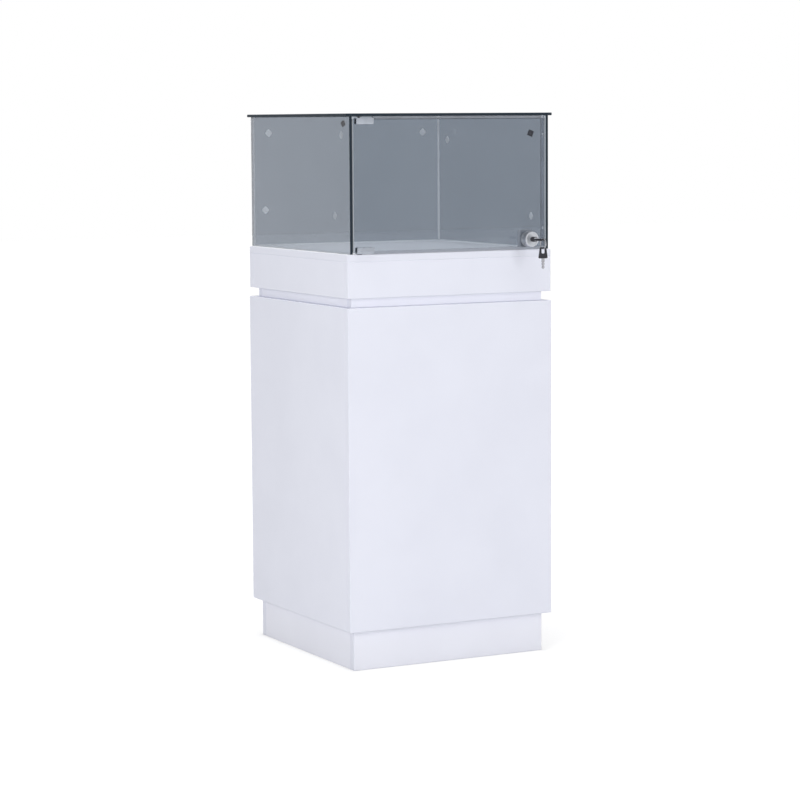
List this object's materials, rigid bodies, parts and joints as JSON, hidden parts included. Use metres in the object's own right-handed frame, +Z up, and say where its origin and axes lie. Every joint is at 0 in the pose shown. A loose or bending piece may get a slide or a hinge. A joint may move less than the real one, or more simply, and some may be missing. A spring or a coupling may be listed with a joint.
{
  "type": "pedestal display case",
  "caption": "White square pedestal on a recessed plinth, with a shadow-gap collar and a tinted glass showcase whose front pane is a pivoted door with a keyed lock.",
  "frame": {"origin": "centre of the footprint, on the floor, where the plinth stands", "axes": "+Z up, -Y towards the front with the glass door, +X to the right seen from the front"},
  "size_m": [0.502, 0.5793, 1.192],
  "materials": {
    "white_laminate": "white satin laminate on board, with matching edge strips",
    "inner_board": "raw board and softwood",
    "zinc_steel": "zinc plated",
    "tinted_glass": "grey tinted float glass, ground edges",
    "clear_silicone": "clear, soft",
    "smoke_acrylic": "smoke tinted, clear",
    "nylon": "grey nylon",
    "satin_steel": "stamped, satin",
    "satin_chrome": "satin chrome",
    "bright_chrome": "polished chrome",
    "grey_liner": "soft liner",
    "black_rubber": "black",
    "black_plastic": "moulded, fine texture",
    "nickel_key": "nickel plated"
  },
  "bodies": {
    "case": {"plinth_front": "white_laminate", "plinth_back": "white_laminate", "plinth_left": "white_laminate", "plinth_right": "white_laminate", "left_side_panel": "white_laminate", "right_side_panel": "white_laminate", "front_panel": "white_laminate", "back_panel": "white_laminate", "neck_front": "white_laminate", "neck_back": "white_laminate", "neck_left": "white_laminate", "neck_right": "white_laminate", "collar_front": "white_laminate", "collar_back": "white_laminate", "collar_left": "white_laminate", "collar_right": "white_laminate", "deck_panel": "white_laminate", "bottom_panel": "inner_board", "cabinet_top_panel": "inner_board", "collar_base": "inner_board", "plinth_stretcher": "inner_board", "plinth_blocks": "inner_board", "corner_battens": "inner_board", "collar_blocks": "inner_board", "panel_screws": "zinc_steel", "strike_screws": "zinc_steel", "left_glass": "tinted_glass", "right_glass": "tinted_glass", "back_glass": "tinted_glass", "top_glass": "tinted_glass", "glass_sealant": "clear_silicone", "glass_pads": "clear_silicone", "door_bumpers": "clear_silicone", "door_stop_strip": "smoke_acrylic", "top_pivot_bush": "nylon", "deck_pivot_bush": "nylon", "strike_plate": "satin_steel"},
    "door": {"door_glass": "tinted_glass", "door_pad": "black_rubber", "top_hinge_clamp": "satin_chrome", "bottom_hinge_clamp": "satin_chrome", "hinge_pins": "satin_steel", "hinge_liners": "grey_liner", "hinge_grub_screws": "zinc_steel", "lock_body": "bright_chrome", "lock_gaskets": "black_rubber", "lock_nut": "zinc_steel", "lock_case": "satin_steel", "lock_case_cover": "satin_steel", "lock_case_screws": "zinc_steel"},
    "plug": {"lock_plug": "bright_chrome", "lock_nose_cap": "black_plastic", "lock_cam": "satin_steel", "lock_cam_screw": "zinc_steel"},
    "bolt": {"lock_bolt": "satin_steel"},
    "key": {"key_blade": "nickel_key", "key_bow": "black_plastic"},
    "ring": {"key_ring": "nickel_key"},
    "spare_key": {"spare_key_blade": "nickel_key", "spare_key_bow": "black_plastic"}
  },
  "joints": [
    {"name": "door_swing", "type": "hinge", "parent": "case", "child": "door", "pos_m": [-0.2175, -0.2432, 0.895], "axis": [0, 0, -1], "range_deg": [0, 120]},
    {"name": "lock_turn", "type": "hinge", "parent": "door", "child": "plug", "pos_m": [0.1895, -0.255, 0.918], "axis": [0, 1, 0], "range_deg": [0, 90]},
    {"name": "bolt_slide", "type": "slide", "parent": "door", "child": "bolt", "axis": [0, 0, -1], "range_m": [0, 0.0099]},
    {"name": "key_pull", "type": "slide", "parent": "plug", "child": "key", "axis": [0, -1, 0], "range_m": [0, 0.0145]},
    {"name": "ring_swing", "type": "hinge", "parent": "key", "child": "ring", "pos_m": [0.1895, -0.31625, 0.918], "axis": [1, 0, 0], "range_deg": [-12, 12]},
    {"name": "spare_swing", "type": "hinge", "parent": "ring", "child": "spare_key", "pos_m": [0.1895, -0.31625, 0.8986], "axis": [0, 1, 0], "range_deg": [-25, 25]}
  ],
  "couplings": [
    {"joint": "lock_turn", "follows": "bolt_slide", "rad_per_m": 158.67}
  ]
}
